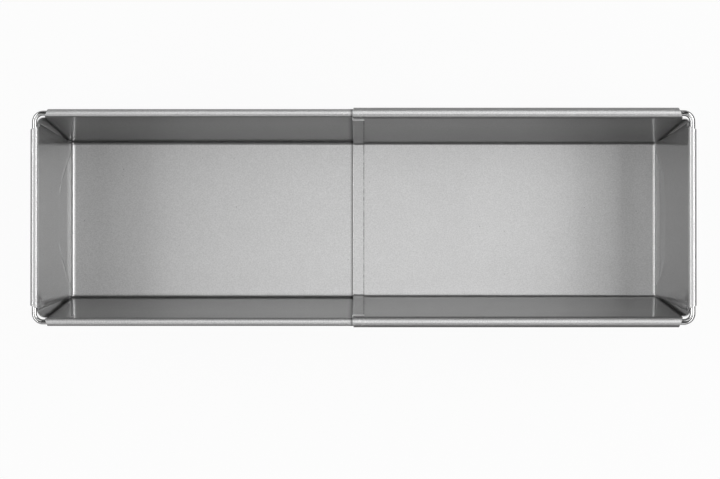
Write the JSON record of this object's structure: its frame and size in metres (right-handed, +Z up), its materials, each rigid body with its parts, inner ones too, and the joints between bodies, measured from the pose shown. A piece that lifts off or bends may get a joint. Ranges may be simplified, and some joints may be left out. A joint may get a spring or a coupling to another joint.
{
  "type": "extendable loaf tin",
  "caption": "Open loaf tin of two telescoping sheet steel half shells with slanted walls, folded corners and wired rolled rims; one half slides along the other to change the length.",
  "frame": {"origin": "on the table, under the middle of the tin when it is fully pulled out", "axes": "+X along the tin from the lower half to the upper half, +Z up, +Y across"},
  "size_m": [0.35, 0.1154, 0.07],
  "materials": {
    "coated_sheet": "satin silver-grey coated sheet steel, fine grain",
    "bright_wire": "bright drawn and plated steel wire"
  },
  "bodies": {
    "lower_half": {"lower_tray": "coated_sheet", "lower_rim_wire": "bright_wire"},
    "upper_half": {"upper_tray": "coated_sheet", "upper_rim_wire": "bright_wire"}
  },
  "joints": [
    {"name": "extension_slide", "type": "slide", "parent": "lower_half", "child": "upper_half", "axis": [1, 0, 0], "range_m": [-0.15, 0]}
  ]
}
